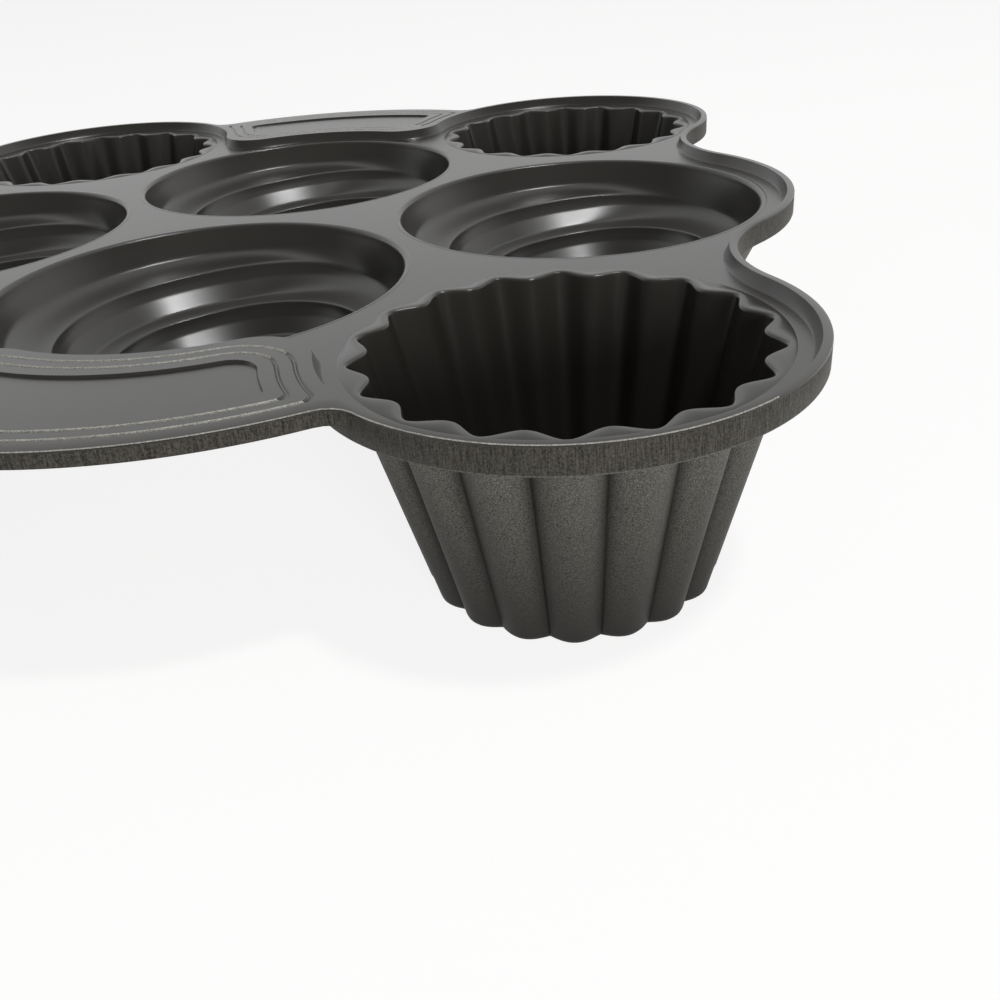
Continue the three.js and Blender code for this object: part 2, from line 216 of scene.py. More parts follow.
class Arc:
    def __init__(self, centre, radius, start, end, clockwise=False):
        turn = -1 if clockwise else 1
        self.centre = centre
        self.radius = radius
        self.start = angle_to(centre, start)
        self.sweep = turn * ((turn * (angle_to(centre, end) - self.start)) % tau)
        self.steps = max(4, round(abs(self.sweep) * radius / ARC_STEP))


def notch_between(cup, other):
    radius = HANDLE_NOTCH if cup in handle_swirls or other in handle_swirls else SIDE_NOTCH
    return radius, outer_meeting(cup.centre, cup.edge + radius, other.centre, other.edge + radius)


def handle_fillet(swirl, side):
    reach = HANDLE_RADIUS + HANDLE_FILLET
    return outer_meeting(swirl.centre, reach, side.centre, side.edge + HANDLE_FILLET)


def notch_arc(cup, other):
    radius, centre = notch_between(cup, other)
    return Arc(centre, radius, cup.centre, other.centre, clockwise=True)


def rim_arcs():
    """Edge of the deck round all the cups, with the fluted cups' arcs parted where the handles meet them."""
    arcs = []
    for cup in cups:
        before, after = neighbours(cup)
        marks = [notch_between(before, cup)[1], notch_between(cup, after)[1]]
        if cup in fluted:
            marks.insert(1, handle_fillet(before if before in handle_swirls else after, cup))
        arcs += [Arc(cup.centre, cup.edge, start, end) for start, end in zip(marks, marks[1:])]
        arcs.append(notch_arc(cup, after))
    return arcs


def outer_arcs():
    """Edge of the whole pan: the deck's where it is bare, and the handles'."""
    arcs = []
    for cup in cups:
        before, after = neighbours(cup)
        if cup in handle_swirls:
            start, end = handle_fillet(cup, before), handle_fillet(cup, after)
            arcs += [
                Arc(start, HANDLE_FILLET, before.centre, cup.centre, clockwise=True),
                Arc(cup.centre, HANDLE_RADIUS, start, end),
                Arc(end, HANDLE_FILLET, cup.centre, after.centre, clockwise=True),
            ]
        else:
            start = handle_fillet(before, cup) if before in handle_swirls else notch_between(before, cup)[1]
            end = handle_fillet(after, cup) if after in handle_swirls else notch_between(cup, after)[1]
            arcs.append(Arc(cup.centre, cup.edge, start, end))
            if after not in handle_swirls:
                arcs.append(notch_arc(cup, after))
    return arcs


def groove_points(swirl, inset, z):
    """Line on a handle: it keeps its margins to the front edge, the swirl cup and the fluted cups."""
    before, after = neighbours(swirl)
    front = HANDLE_RADIUS - GROOVE_FRONT_MARGIN - inset
    back = swirl.edge + GROOVE_MARGIN + inset
    end = before.edge + GROOVE_MARGIN + inset
    tight = FRONT_CORNER
    wide = BACK_CORNER - inset
    corners = [
        outer_meeting(swirl.centre, front - tight, before.centre, end + tight),
        outer_meeting(swirl.centre, front - tight, after.centre, end + tight),
        outer_meeting(swirl.centre, back + wide, after.centre, end + wide),
        outer_meeting(swirl.centre, back + wide, before.centre, end + wide),
    ]
    start_side = corners[0] * 2 - swirl.centre
    end_side = corners[1] * 2 - swirl.centre
    stretches = [
        (Arc(swirl.centre, front, corners[0], corners[1]), GROOVE_LONG_STEPS),
        (Arc(corners[1], tight, end_side, after.centre), GROOVE_CORNER_STEPS),
        (Arc(after.centre, end, corners[1], corners[2], clockwise=True), GROOVE_END_STEPS),
        (Arc(corners[2], wide, after.centre, swirl.centre), GROOVE_CORNER_STEPS),
        (Arc(swirl.centre, back, corners[2], corners[3], clockwise=True), GROOVE_LONG_STEPS),
        (Arc(corners[3], wide, swirl.centre, before.centre), GROOVE_CORNER_STEPS),
        (Arc(before.centre, end, corners[3], corners[0], clockwise=True), GROOVE_END_STEPS),
        (Arc(corners[0], tight, before.centre, start_side), GROOVE_CORNER_STEPS),
    ]
    points = []
    for arc, steps in stretches:
        for step in range(steps):
            points.append(polar(arc.centre, arc.radius, arc.start + arc.sweep * step / steps, z))
    return points


# Mesh helpers

def sweep(bm, arcs, radius, profile):
    """Turns a profile, given by inset and height, about one arc's centre after another, back to its start."""
    start = arcs[0].start
    chain = [bm.verts.new(polar(arcs[0].centre, radius - inset, start, z)) for inset, z in profile]
    last = chain + [bm.edges.new(pair) for pair in zip(chain, chain[1:])]
    for arc in arcs:
        turned = bmesh.ops.spin(
            bm, geom=last, cent=arc.centre, axis=(0, 0, 1), angle=arc.sweep, steps=arc.steps
        )
        last = turned["geom_last"]
    ends = [part for part in last if isinstance(part, bmesh.types.BMVert)]
    bmesh.ops.remove_doubles(bm, verts=chain + ends, dist=MERGE)


def spun_profile(bm, centre, points, segments):
    """Turns a chain of points, given by radius and height, a whole turn about an upright axis."""
    chain = [bm.verts.new((centre.x + radius, centre.y, z)) for radius, z in points]
    edges = [bm.edges.new(pair) for pair in zip(chain, chain[1:])]
    bmesh.ops.spin(
        bm, geom=chain + edges, cent=centre, axis=(0, 0, 1), angle=tau, steps=segments, use_merge=True
    )


def fill_level(bm, z, up=1):
    """Closes the deck at a height, between all the open edges that lie there."""
    edges = [e for e in bm.edges if e.is_boundary and all(abs(v.co.z - z) < LEVEL for v in e.verts)]
    bmesh.ops.triangle_fill(bm, use_beauty=True, edges=edges, normal=(0, 0, up))


def close(bm):
    """Merges what meets and points the faces outwards."""
    bmesh.ops.remove_doubles(bm, verts=bm.verts[:], dist=MERGE)
    bmesh.ops.dissolve_degenerate(bm, edges=bm.edges[:], dist=MERGE)
    bmesh.ops.recalc_face_normals(bm, faces=bm.faces[:])


def finish_piece(bm, name, materials, nodes, sharp):
    """Shades the mesh smooth between edges sharper than so many degrees, attaches it to the root body and hides
    the model's parts that it stands for.
    """
    mesh = bpy.data.meshes.new(name)
    bm.to_mesh(mesh)
    bm.free()
    mesh.polygons.foreach_set("use_smooth", [True] * len(mesh.polygons))
    mesh.set_sharp_from_angle(angle=radians(sharp))
    for material in materials:
        mesh.materials.append(material)
    piece = bpy.data.objects.new(name, mesh)
    bpy.context.collection.objects.link(piece)
    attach(piece, "root")
    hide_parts(*nodes)
    return piece


# Materials

def linear(code):
    channels = [int(code[i:i + 2], 16) / 255 for i in (1, 3, 5)]
    return (*(c / 12.92 if c <= 0.04045 else ((c + 0.055) / 1.055) ** 2.4 for c in channels), 1)


def node(tree, kind, links=None, **settings):
    """Adds a node: links are values or outputs for its sockets, settings are its own options."""
    made = tree.nodes.new(kind)
    for name, value in settings.items():
        setattr(made, name, value)
    for socket, value in (links or {}).items():
        if isinstance(value, bpy.types.NodeSocket):
            tree.links.new(value, made.inputs[socket])
        else:
            made.inputs[socket].default_value = value
    return made


def new_material(name):
    material = bpy.data.materials.new(name)
    material.use_nodes = True
    tree = material.node_tree
    tree.nodes.clear()
    return material, tree


def nonstick_coat():
    """Smooth non-stick coat: nearly black warm grey with a satin shine that lightens at grazing angles."""
    material, tree = new_material("nonstick_coat_on_cast_aluminium")
    place = node(tree, "ShaderNodeTexCoord").outputs["Object"]
    grain_size = 0.0006
    cloud_size = 0.03
    grain = node(tree, "ShaderNodeTexNoise", {"Vector": place, "Scale": 1 / grain_size, "Detail": 2.0})
    clouds = node(tree, "ShaderNodeTexNoise", {"Vector": place, "Scale": 1 / cloud_size, "Detail": 2.0})
    colour = node(tree, "ShaderNodeMix", {
        "Factor": clouds.outputs["Fac"], "A": linear("#262421"), "B": linear("#2f2d29"),
    }, data_type="RGBA")
    roughness = node(tree, "ShaderNodeMapRange", {
        "Value": clouds.outputs["Fac"], "To Min": 0.28, "To Max": 0.31,
    })
    bump = node(tree, "ShaderNodeBump", {
        "Strength": 0.1, "Distance": 0.00002, "Height": grain.outputs["Fac"],
    })
    shader = node(tree, "ShaderNodeBsdfPrincipled", {
        "Base Color": colour.outputs["Result"],
        "Roughness": roughness.outputs["Result"],
        "Normal": bump.outputs["Normal"],
        "IOR": 1.6,
    })
    node(tree, "ShaderNodeOutputMaterial", {"Surface": shader.outputs["BSDF"]})
    return material


def sprayed_outside_with_painted_shade():
    """Outside sprayed thinly over the cast grain: dark warm grey, matt, with fine pale grit, and painted shade
    that darkens it and fades the grit towards the base.

    Painted shade: the coat is darkened to nearly black in the grooves between the flutes.
    """
    material, tree = new_material("thin_coat_with_painted_shade")
    place = node(tree, "ShaderNodeTexCoord").outputs["Object"]
    # Real grit is finer; this is the finest that shows
    grit_size = 0.00025
    grit = node(tree, "ShaderNodeTexNoise", {"Vector": place, "Scale": 1 / grit_size, "Detail": 2.0})
    pale = node(tree, "ShaderNodeMapRange", {
        "Value": grit.outputs["Fac"], "From Min": 0.3, "From Max": 0.7,
    })
    height = node(tree, "ShaderNodeSeparateXYZ", {"Vector": place})
    # Painted shade: lighter at the top of the outside, darker towards the base
    painted_shade_by_height = node(tree, "ShaderNodeMapRange", {
        "Value": height.outputs["Z"],
        "From Min": 0.0,
        "From Max": DECK_UNDER,
        "To Min": -0.05,
        "To Max": 1.3,
    })
    grains = node(tree, "ShaderNodeMath", {
        0: pale.outputs["Result"], 1: painted_shade_by_height.outputs["Result"],
    }, operation="MULTIPLY")
    colour = node(tree, "ShaderNodeMix", {
        "Factor": grains.outputs[0], "A": linear("#211f1c"), "B": linear("#6b6963"),
    }, data_type="RGBA")
    # Painted shade: darkens the outside grooves between the flutes to nearly black
    painted_groove_shade = node(tree, "ShaderNodeAttribute", attribute_name="painted_groove_shade")
    with_painted_groove_shade = node(tree, "ShaderNodeMix", {
        "Factor": painted_groove_shade.outputs["Fac"], "A": colour.outputs["Result"], "B": linear("#100f0d"),
    }, data_type="RGBA")
    bump = node(tree, "ShaderNodeBump", {
        "Strength": 0.4, "Distance": 0.00005, "Height": grit.outputs["Fac"],
    })
    shader = node(tree, "ShaderNodeBsdfPrincipled", {
        "Base Color": with_painted_groove_shade.outputs["Result"],
        "Roughness": 0.6,
        "Normal": bump.outputs["Normal"],
        "IOR": 1.3,
    })
    node(tree, "ShaderNodeOutputMaterial", {"Surface": shader.outputs["BSDF"]})
    return material


def ground_edge():
    """Edge ground after casting and coated thinly: dark grey with fine upright scratches from the wheel."""
    material, tree = new_material("ground_aluminium_edge")
    place = node(tree, "ShaderNodeTexCoord").outputs["Object"]
    scratch_width = 0.00025
    scratch_length = 0.003
    grit_size = 0.0004
    stretch = node(tree, "ShaderNodeMapping", {
        "Vector": place, "Scale": (1 / scratch_width, 1 / scratch_width, 1 / scratch_length),
    })
    scratches = node(tree, "ShaderNodeTexNoise", {
        "Vector": stretch.outputs["Vector"], "Scale": 1.0, "Detail": 2.0,
    })
    grit = node(tree, "ShaderNodeTexNoise", {"Vector": place, "Scale": 1 / grit_size, "Detail": 2.0})
    both = node(tree, "ShaderNodeMath", {
        0: scratches.outputs["Fac"], 1: grit.outputs["Fac"],
    }, operation="ADD")
    strokes = node(tree, "ShaderNodeMapRange", {
        "Value": both.outputs[0], "From Min": 0.75, "From Max": 1.3,
    })
    colour = node(tree, "ShaderNodeMix", {
        "Factor": strokes.outputs["Result"], "A": linear("#1e1c19"), "B": linear("#4e4b45"),
    }, data_type="RGBA")
    bump = node(tree, "ShaderNodeBump", {
        "Strength": 0.4, "Distance": 0.00005, "Height": both.outputs[0],
    })
    shader = node(tree, "ShaderNodeBsdfPrincipled", {
        "Base Color": colour.outputs["Result"],
        "Roughness": 0.55,
        "Normal": bump.outputs["Normal"],
        "IOR": 1.35,
    })
    node(tree, "ShaderNodeOutputMaterial", {"Surface": shader.outputs["BSDF"]})
    return material


def worn_and_highlit_edge():
    """Coat thinned by wear on narrow edges, with painted highlight there: pale warm grey that sparkles in uneven
    grains.
    """
    material, tree = new_material("worn_coat_with_painted_highlight")
    place = node(tree, "ShaderNodeTexCoord").outputs["Object"]
    # Real grains are finer; this is the finest that shows
    grain_size = 0.0003
    grain = node(tree, "ShaderNodeTexNoise", {"Vector": place, "Scale": 1 / grain_size, "Detail": 2.0})
    rubbed_and_highlit = node(tree, "ShaderNodeMapRange", {
        "Value": grain.outputs["Fac"], "From Min": 0.35, "From Max": 0.65,
    })
    colour = node(tree, "ShaderNodeMix", {
        "Factor": rubbed_and_highlit.outputs["Result"], "A": linear("#7b7973"), "B": linear("#bab8b0"),
    }, data_type="RGBA")
    bump = node(tree, "ShaderNodeBump", {
        "Strength": 0.3, "Distance": 0.00005, "Height": grain.outputs["Fac"],
    })
    shader = node(tree, "ShaderNodeBsdfPrincipled", {
        "Base Color": colour.outputs["Result"],
        "Roughness": 0.5,
        "Normal": bump.outputs["Normal"],
        "IOR": 1.5,
    })
    node(tree, "ShaderNodeOutputMaterial", {"Surface": shader.outputs["BSDF"]})
    return material


# Deck with its raised edge and the handles

def deck_and_handles(coat, edge, outside, worn_and_highlit):
    bm = bmesh.new()
    half = RIM_ROUNDING * (1 - sqrt(0.5))
    band_foot = [
        (RIM_ROUNDING, DECK_UNDER),
        (half, DECK_UNDER + half),
        (0, DECK_UNDER + RIM_ROUNDING),
        (0, HANDLE_UNDER),
    ]
    band_top = [
        (0, HANDLE_UNDER),
        (0, RIM_TOP - RIM_ROUNDING),
        (half, RIM_TOP - half),
        (RIM_ROUNDING, RIM_TOP),
    ]
    dish = []
    for step in range(RIM_STEPS + 1):
        share = step / RIM_STEPS
        inset = RIM_CREST + (RIM_WIDTH - RIM_CREST) * share
        dish.append((inset, DECK_TOP + RIM_RISE * (1 - share) ** DISH_CURVE))
    dish.append((RIM_WIDTH + SUPPORT, DECK_TOP))

    sweep(bm, rim_arcs(), SWIRL_EDGE, dish)
    for cup in swirls:
        hole = [(SWIRL_HOLE_UNDER, DECK_UNDER), (SWIRL_HOLE, DECK_TOP)]
        spun_profile(bm, cup.centre, hole, SWIRL_SEGMENTS)
    for cup in fluted:
        hole = [(FLUTED_HOLE_UNDER, DECK_UNDER), (FLUTED_HOLE, DECK_TOP)]
        spun_profile(bm, cup.centre, hole, FLUTE_SEGMENTS)
    sweep(bm, rim_arcs(), SWIRL_EDGE, band_foot)
    sweep(bm, outer_arcs(), SWIRL_EDGE, band_top)
    for swirl in handle_swirls:
        handle_grooves(bm, swirl)

    # Where the handles stand out from the rim, the two walls part and the handles' undersides close the gap
    bmesh.ops.remove_doubles(bm, verts=bm.verts[:], dist=MERGE)
    fill_level(bm, RIM_TOP)
    fill_level(bm, DECK_TOP)
    fill_level(bm, PANEL_TOP)
    fill_level(bm, HANDLE_UNDER, up=-1)
    fill_level(bm, DECK_UNDER, up=-1)
    close(bm)
    for face in bm.faces:
        lean = face.normal.z
        high = face.calc_center_median().z > RIM_TOP - WORN_AND_HIGHLIT_DEPTH
        if lean < -BAND_LEAN:
            face.material_index = 2
        elif lean < BAND_LEAN:
            face.material_index = 1
        # Partly wear, partly painted highlight: narrow high faces turned more along Y than X get the pale edge
        # finish
        elif high and lean < WORN_AND_HIGHLIT_LEAN and abs(face.normal.y) > abs(face.normal.x):
            face.material_index = 3
    handles = ["handle_front", "handle_back"]
    return finish_piece(bm, "deck_and_handles", [coat, edge, outside, worn_and_highlit], handles, DECK_SHARP)


def handle_grooves(bm, swirl):
    """Two fine grooves with sloped walls round a sunk bare panel."""
    levels = []
    for inset in (0, GROOVE_SPACING):
        outer, inner = inset - GROOVE_WIDTH / 2, inset + GROOVE_WIDTH / 2
        levels += [
            (outer, RIM_TOP),
            (outer + GROOVE_DEPTH, GROOVE_FLOOR),
            (inner - GROOVE_DEPTH, GROOVE_FLOOR),
            (inner, RIM_TOP),
        ]
    levels += [(2 * GROOVE_SPACING, RIM_TOP), (2 * GROOVE_SPACING + PANEL_DRAFT, PANEL_TOP)]
    loop = []
    for inset, z in levels:
        points = groove_points(swirl, inset, z)
        if not loop:
            loop = [bm.verts.new(point) for point in points]
            edges = [bm.edges.new(pair) for pair in zip(loop, loop[1:] + loop[:1])]
            continue
        grown = bmesh.ops.extrude_edge_only(bm, edges=edges)["geom"]
        edges = [part for part in grown if isinstance(part, bmesh.types.BMEdge)]
        fresh = {part for part in grown if isinstance(part, bmesh.types.BMVert)}
        loop = [next(e.other_vert(v) for e in v.link_edges if e.other_vert(v) in fresh) for v in loop]
        edges = [e for e in edges if e.verts[0] in fresh and e.verts[1] in fresh]
        for vert, point in zip(loop, points):
            vert.co = point


# Fluted cup

def fluted_profile():
    """Half section from the middle of the floor, over the mouth and down outside to the middle of the base.

    Each point has its radius on the even cup, its height, the swing of the flutes there and a distance
    out from the wavy wall, square to it.
    """
    neck = MOUTH_RADIUS - MOUTH_ROUNDING
    neck_z = DECK_TOP - MOUTH_ROUNDING

    def wall(z):
        return BASE_RADIUS + (neck - BASE_RADIUS) * z / neck_z

    def swing(z):
        return BASE_SWING + (MOUTH_SWING - BASE_SWING) * z / DECK_TOP

    fillet_top = FLUTED_FLOOR + FLOOR_FILLET
    points = [(0, FLUTED_FLOOR, 0, 0), (wall(0) / 2, FLUTED_FLOOR, 0, 0)]
    for step in range(FILLET_STEPS + 1):
        angle = step / FILLET_STEPS * pi / 2
        inward = FLOOR_FILLET * (1 - sin(angle))
        z = fillet_top - FLOOR_FILLET * cos(angle)
        points.append((wall(fillet_top) - inward, z, swing(fillet_top) * (1 - inward / FLOOR_FILLET / 2), 0))
    for step in range(1, WALL_STEPS + 1):
        z = fillet_top + (neck_z - fillet_top) * step / WALL_STEPS
        points.append((wall(z), z, swing(z), 0))
    for step in range(1, MOUTH_STEPS + 1):
        angle = step / MOUTH_STEPS * pi / 2
        radius = MOUTH_RADIUS - MOUTH_ROUNDING * cos(angle)
        points.append((radius, neck_z + MOUTH_ROUNDING * sin(angle), MOUTH_SWING, 0))
    points += [
        (MOUTH_RADIUS, DECK_TOP, MOUTH_SWING, SUPPORT),
        (FLUTED_HOLE, DECK_TOP, 0, 0),
        (FLUTED_HOLE_UNDER, DECK_UNDER, 0, 0),
    ]
    for step in range(FILLET_STEPS):
        angle = step / FILLET_STEPS * pi / 2
        z = DECK_UNDER - BASE_ROUNDING * sin(angle)
        points.append((wall(z), z, swing(z), FLUTED_WALL + BASE_ROUNDING * (1 - sin(angle))))
    for step in range(OUTSIDE_STEPS + 1):
        z = DECK_UNDER - BASE_ROUNDING + (2 * BASE_ROUNDING - DECK_UNDER) * step / OUTSIDE_STEPS
        points.append((wall(z), z, swing(z), FLUTED_WALL))
    for step in range(1, FILLET_STEPS + 1):
        angle = step / FILLET_STEPS * pi / 2
        z = BASE_ROUNDING * (1 - sin(angle))
        points.append((wall(z), z, swing(z), FLUTED_WALL - BASE_ROUNDING * (1 - cos(angle))))
    points += [(wall(0) / 2, 0, 0, 0), (0, 0, 0, 0)]
    return points


def flute_point(radius, angle, swing, offset):
    """Point of the wavy wall: broad lobes with narrow tips, which point out inside the cup and in outside it."""
    outside = offset > SUPPORT
    half = FLUTES * (angle - FLUTE_START) / 2 + (pi / 2 if outside else 0)
    sharpness = GROOVE_SHARPNESS if outside else FLUTE_SHARPNESS
    turned = -swing if outside else swing
    sine = sqrt(sin(half) ** 2 + FLUTE_TIP_ROUNDING)
    crest = FLUTE_TIP_ROUNDING ** (sharpness / 2)
    depth = 2 / ((1 + FLUTE_TIP_ROUNDING) ** (sharpness / 2) - crest)
    reach = radius + turned * (1 - depth * (sine**sharpness - crest))
    slope = -turned * depth * FLUTES * sharpness / 2 * sine ** (sharpness - 2) * sin(half) * cos(half)
    lean = atan2(slope, reach)
    wall = polar(Vector(), reach, angle)
    return polar(wall, offset, angle - lean)


def fluted_shape():
    bm = bmesh.new()
    swing = bm.verts.layers.float.new("swing")
    offset = bm.verts.layers.float.new("offset")
    painted_groove_shade = bm.verts.layers.float.new("painted_groove_shade")
    profile = fluted_profile()
    chain = [bm.verts.new((radius, 0, z)) for radius, z, _, _ in profile]
    for point, (_, _, point_swing, point_offset) in zip(chain, profile):
        point[swing] = point_swing
        point[offset] = point_offset
    edges = [bm.edges.new(pair) for pair in zip(chain, chain[1:])]
    bmesh.ops.spin(
        bm,
        geom=chain + edges,
        cent=(0, 0, 0),
        axis=(0, 0, 1),
        angle=tau,
        steps=FLUTE_SEGMENTS,
        use_merge=True,
    )
    for point in bm.verts:
        angle = atan2(point.co.y, point.co.x)
        place = flute_point(hypot(point.co.x, point.co.y), angle, point[swing], point[offset])
        point.co.xy = place.xy
        if point[offset] > SUPPORT:
            # Painted shade: 1 along the outside grooves, fading out across the flanks
            point[painted_groove_shade] = 1 - smooth(abs(cos(FLUTES * (angle - FLUTE_START) / 2)), 0, GROOVE_SHADE)
    close(bm)
    return bm


def cup_piece(cup, shape, coat, outside):
    bm = shape.copy()
    bmesh.ops.translate(bm, verts=bm.verts[:], vec=cup.centre)
    for face in bm.faces:
        face.material_index = int(face.normal.z < -OUTSIDE_LEAN)
    return finish_piece(bm, cup.name, [coat, outside], [cup.name], CUP_SHARP)


# Swirl cup: points are given by radius and depth below the deck

RIM = Vector((SWIRL_RADIUS, SWIRL_LIP))


def smooth(value, low, high):
    share = min(max((value - low) / (high - low), 0), 1)
    return share * share * (3 - 2 * share)


def spiral(turns):
    """Inner edge of the ledge after so many turns round the cup: it steps in at the start of each turn."""
    whole = floor(turns)
    stepped = whole + smooth(turns - whole, 0, STEP_IN_SPAN)
    return Vector((SWIRL_RADIUS - LEDGE_INSET - SWIRL_STEP_IN * stepped, LEDGE_DEPTH + SWIRL_PITCH * turns))


TIP = Vector((0, spiral(SWIRL_TURNS).y + TIP_DROP))
WALL_SHARE = 1 / 3
TIP_SHARE = 1 / 2


def shelf(turns):
    return spiral(turns) + Vector((LEDGE_NOSE, 0))


def nose(turns):
    return spiral(turns) + Vector((0, LEDGE_NOSE))


def hollow(top, bottom, share, section=HOLLOW_SECTION):
    """Hollow curve along its section, which is rounded between the middles of the section's sides."""
    spans = len(section) - 2
    span = min(int(share * spans), spans - 1)
    part = share * spans - span
    before, corner, after = (Vector(point) for point in section[span:span + 3])
    start = before if span == 0 else (before + corner) / 2
    end = after if span == spans - 1 else (corner + after) / 2
    place = start * (1 - part) ** 2 + corner * 2 * part * (1 - part) + end * part**2
    return Vector((top.x + (bottom.x - top.x) * place.x, top.y + (bottom.y - top.y) * place.y))


def ledge_point(top, turns, share, section=HOLLOW_SECTION):
    """Hollow from a point above down to the ledge, then the ledge's rounded nose."""
    split = HOLLOW_ROWS / (HOLLOW_ROWS + NOSE_ROWS)
    if share <= split:
        return hollow(top, shelf(turns), share / split, section)
    angle = (share - split) / (1 - split) * pi / 2
    corner = spiral(turns) + Vector((LEDGE_NOSE, LEDGE_NOSE))
    return corner - Vector((sin(angle), cos(angle))) * LEDGE_NOSE


def snap(share, rows):
    return round(share * rows) / rows


def first_turn(turns, share):
    """Below the rim: the ledge rises out of the wall that hangs down to the second turn."""
    wall_share = WALL_SHARE * share
    if turns == 0:
        wall_share = snap(wall_share, HOLLOW_ROWS)
    wall = hollow(RIM, shelf(turns + 1), wall_share, WALL_SECTION)
    return wall.lerp(ledge_point(RIM, turns, share, WALL_SECTION), smooth(turns, *LEDGE_RISES))


def middle_turns(turns, share):
    """Below the ledge's turn above, down to the ledge, which sinks into the hollow of the tip at its end."""
    place = ledge_point(nose(turns - 1), turns, share)
    split = HOLLOW_ROWS / (HOLLOW_ROWS + NOSE_ROWS)
    if share <= split:
        wall_share = WALL_SHARE + (1 - WALL_SHARE) * share / split
        if turns == 1:
            wall_share = snap(wall_share, HOLLOW_ROWS)
        wall = hollow(RIM, shelf(turns), wall_share, WALL_SECTION)
        place = wall.lerp(place, smooth(turns - 1, *LEDGE_RISES))
    tip_share = TIP_SHARE * share
    if turns == SWIRL_TURNS:
        tip_share = snap(tip_share, HOLLOW_ROWS + NOSE_ROWS)
    sunk = hollow(nose(turns - 1), TIP, tip_share)
    return place.lerp(sunk, smooth(turns, SWIRL_TURNS - LEDGE_SINKS, SWIRL_TURNS))


def tip_turn(turns, share):
    """Below the last turn of the ledge: a hollow that closes in the tip."""
    tip_share = TIP_SHARE + (1 - TIP_SHARE) * share
    if turns == SWIRL_TURNS + 1:
        tip_share = snap(tip_share, HOLLOW_ROWS + NOSE_ROWS)
    place = hollow(nose(turns - 1), TIP, share)
    sunk = hollow(nose(turns - 2), TIP, tip_share)
    return place.lerp(sunk, smooth(turns - 1, SWIRL_TURNS - LEDGE_SINKS, SWIRL_TURNS))


def swirl_ribbon(bm, start, end, place_on_cup):
    """Spins a flat strip into a helix that rises one unit a turn, then lays each point of it on the cup."""
    known = len(bm.verts)
    rows = HOLLOW_ROWS + NOSE_ROWS
    strip = [bm.verts.new((1 + row / rows, 0, start)) for row in range(rows + 1)]
    edges = [bm.edges.new(pair) for pair in zip(strip, strip[1:])]
    bmesh.ops.spin(
        bm,
        geom=strip + edges,
        cent=(0, 0, 0),
        axis=(0, 0, 1),
        angle=tau * (end - start),
        steps=SWIRL_SEGMENTS * (end - start),
        dvec=(0, 0, 1 / SWIRL_SEGMENTS),
    )
    bm.verts.ensure_lookup_table()
    for point in bm.verts[known:]:
        turns = round(point.co.z * SWIRL_SEGMENTS) / SWIRL_SEGMENTS
        share = round((hypot(point.co.x, point.co.y) - 1) * rows) / rows
        place = place_on_cup(turns, share)
        point.co = polar(Vector(), place.x, SWIRL_START + tau * turns, DECK_TOP - place.y)


def swirl_outside():
    """Half section of the outside, from the rim over the lip and down the bowl to the middle of its base."""
    points = []
    for step in range(LIP_STEPS + 1):
        angle = (1 - step / LIP_STEPS) * pi / 2
        points.append((SWIRL_RADIUS + SWIRL_LIP * (1 - sin(angle)), SWIRL_LIP * (1 - cos(angle))))
    points += [(SWIRL_RADIUS + SWIRL_LIP + SUPPORT, 0), (SWIRL_HOLE, 0), (SWIRL_HOLE_UNDER, DECK_THICKNESS)]
    corners = [(SWIRL_RADIUS + SWIRL_WALL, DECK_THICKNESS + OUTSIDE_DROP)]
    inward, downward = OUTSIDE_CORNER
    clear = SWIRL_WALL * sqrt(0.5)
    above = Vector((SWIRL_RADIUS, 0))
    for turn in range(1, SWIRL_TURNS):
        edge = spiral(turn)
        step_in, step_down = edge - above
        corners.append((above.x + step_in * inward + clear, above.y + step_down * downward + clear))
        above = edge
    corners += TIP_OUTSIDE
    return [(r, DECK_TOP - d) for r, d in points], [(r, DECK_TOP - d) for r, d in corners]


def swirl_shape():
    bm = bmesh.new()
    swirl_ribbon(bm, 0, 1, first_turn)
    swirl_ribbon(bm, 1, SWIRL_TURNS, middle_turns)
    swirl_ribbon(bm, SWIRL_TURNS, SWIRL_TURNS + 1, tip_turn)
    lip, bowl = swirl_outside()
    spun_profile(bm, Vector(), lip + bowl, SWIRL_SEGMENTS)
    close(bm)
    return bm


# Camera, floor and light

def camera():
    focal = 37.92
    spot = Vector((0.09205, -0.29785, 0.12849))
    right = Vector((0.99616, 0.05576, -0.06746))
    up = Vector((0.03025, 0.50397, 0.86318))
    back = Vector((0.08213, -0.86191, 0.50035))
    data = bpy.data.cameras.new("camera")
    data.lens = focal
    data.sensor_width = 36
    data.sensor_fit = "HORIZONTAL"
    data.clip_start = 0.01
    shot = bpy.data.objects.new("camera", data)
    turn = Matrix((right, up, back)).transposed().to_4x4()
    shot.matrix_world = Matrix.Translation(spot) @ turn
    bpy.context.collection.objects.link(shot)
    bpy.context.scene.camera = shot


def seen_rays(tree):
    """One for rays that show a surface, straight or in gloss and glass, and zero for those that light."""
    path = node(tree, "ShaderNodeLightPath")
    gloss = node(tree, "ShaderNodeMath", {
        0: path.outputs["Is Camera Ray"], 1: path.outputs["Is Glossy Ray"],
    }, operation="MAXIMUM")
    glass = node(tree, "ShaderNodeMath", {
        0: gloss.outputs[0], 1: path.outputs["Is Transmission Ray"],
    }, operation="MAXIMUM")
    return glass.outputs[0]


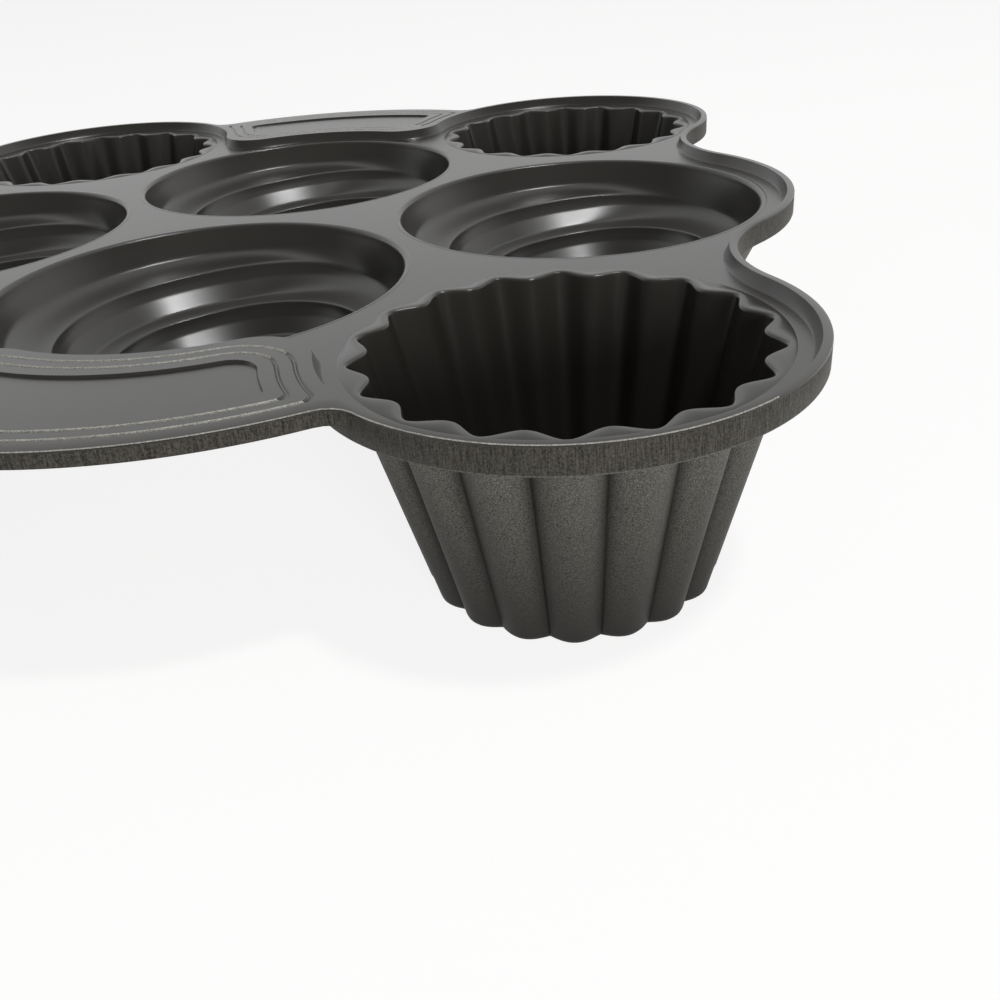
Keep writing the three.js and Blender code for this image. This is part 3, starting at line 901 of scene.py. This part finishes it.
def floor_plane():
    """White paper that lights the pan as plain paper does and is seen white, with the pan's shadow on it."""
    size = 4.0
    seen_level = 0.86
    material, tree = new_material("white_paper_floor")
    paper = node(tree, "ShaderNodeBsdfDiffuse", {"Color": linear("#c4c4c2")})
    shaded = node(tree, "ShaderNodeBsdfDiffuse", {"Color": linear("#7d7d7b")})
    glow = node(tree, "ShaderNodeEmission", {"Color": (1, 1, 1, 1), "Strength": seen_level})
    white = node(tree, "ShaderNodeAddShader", {0: shaded.outputs["BSDF"], 1: glow.outputs["Emission"]})
    surface = node(tree, "ShaderNodeMixShader", {
        "Fac": seen_rays(tree), 1: paper.outputs["BSDF"], 2: white.outputs["Shader"],
    })
    node(tree, "ShaderNodeOutputMaterial", {"Surface": surface.outputs["Shader"]})
    bm = bmesh.new()
    bmesh.ops.create_grid(bm, x_segments=1, y_segments=1, size=size)
    mesh = bpy.data.meshes.new("floor")
    bm.to_mesh(mesh)
    bm.free()
    mesh.materials.append(material)
    sheet = bpy.data.objects.new("floor", mesh)
    bpy.context.collection.objects.link(sheet)


def soft_light(name, spot, aim, size, power, shine=True):
    data = bpy.data.lights.new(name, "AREA")
    data.shape = "DISK"
    data.size = size
    data.energy = power
    lamp = bpy.data.objects.new(name, data)
    lamp.visible_glossy = shine
    lamp.location = spot
    lamp.rotation_euler = (Vector(aim) - Vector(spot)).to_track_quat("-Z", "Y").to_euler()
    bpy.context.collection.objects.link(lamp)


def surroundings():
    """White backdrop, with a dimmer room behind the camera in the gloss and plain grey for its light."""
    white = 1.0
    dim = 0.2
    light = 0.12
    turn = 0.3
    world = bpy.data.worlds.new("studio")
    world.use_nodes = True
    tree = world.node_tree
    tree.nodes.clear()
    path = node(tree, "ShaderNodeLightPath")
    place = node(tree, "ShaderNodeTexCoord").outputs["Generated"]
    direction = node(tree, "ShaderNodeSeparateXYZ", {"Vector": place})
    room = node(tree, "ShaderNodeMapRange", {
        "Value": direction.outputs["Y"], "From Min": -turn, "From Max": turn, "To Min": dim, "To Max": white,
    })
    mirrored = node(tree, "ShaderNodeMix", {
        "Factor": path.outputs["Is Glossy Ray"], "A": light, "B": room.outputs["Result"],
    })
    straight = node(tree, "ShaderNodeMath", {
        0: path.outputs["Is Camera Ray"], 1: path.outputs["Is Transmission Ray"],
    }, operation="MAXIMUM")
    level = node(tree, "ShaderNodeMix", {
        "Factor": straight.outputs[0], "A": mirrored.outputs["Result"], "B": white,
    })
    sky = node(tree, "ShaderNodeBackground", {"Color": (1, 1, 1, 1), "Strength": level.outputs["Result"]})
    node(tree, "ShaderNodeOutputWorld", {"Surface": sky.outputs["Background"]})
    bpy.context.scene.world = world


coat = nonstick_coat()
outside = sprayed_outside_with_painted_shade()
deck_and_handles(coat, ground_edge(), outside, worn_and_highlit_edge())
for shape, group in ((fluted_shape(), fluted), (swirl_shape(), swirls)):
    for cup in group:
        cup_piece(cup, shape, coat, outside)
    shape.free()
camera()
floor_plane()
surroundings()
soft_light("ceiling", spot=(0.78, -0.53, 2.31), aim=(0, 0, 0), size=0.3, power=21.0)
soft_light("front", spot=(0.6, -1.3, 0.22), aim=(0.05, -0.1, 0.03), size=0.5, power=15.0, shine=False)
bpy.context.scene.view_settings.view_transform = "Standard"
